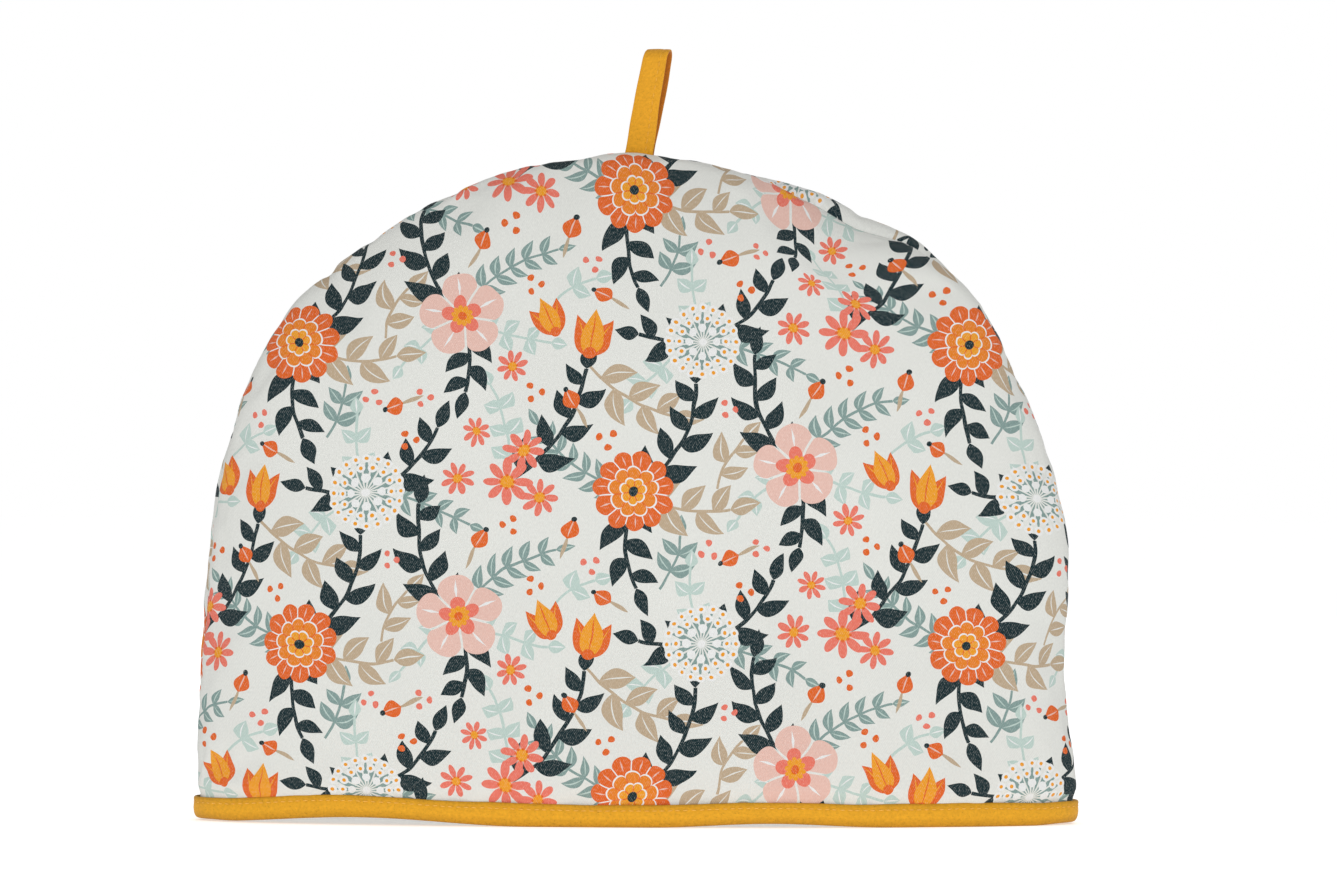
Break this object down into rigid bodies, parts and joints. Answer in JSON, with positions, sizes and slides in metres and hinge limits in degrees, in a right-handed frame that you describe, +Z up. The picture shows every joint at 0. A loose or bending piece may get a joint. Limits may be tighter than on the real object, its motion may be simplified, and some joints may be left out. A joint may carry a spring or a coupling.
{
  "type": "tea cosy",
  "caption": "Padded dome tea cosy, hollow and open below, sewn along its ridge, with a bound hem and a hanging loop.",
  "frame": {"origin": "middle of the hem's footprint, on the surface the hem rests on", "axes": "+X along the width, from side seam to side seam; -Y out of the front panel; +Z up to the ridge and the loop"},
  "size_m": [0.3421, 0.1044, 0.299],
  "materials": {
    "printed_cotton": "off-white cotton twill with a leaf and flower print, matt",
    "mustard_binding": "plain mustard cotton tape, folded and topstitched, matt",
    "mustard_tape": "plain mustard cotton tape, doubled and stitched along one edge, matt"
  },
  "bodies": {
    "root": {"panel_front": "printed_cotton", "panel_back": "printed_cotton", "hem_binding": "mustard_binding", "hanging_loop": "mustard_tape"}
  },
  "joints": []
}
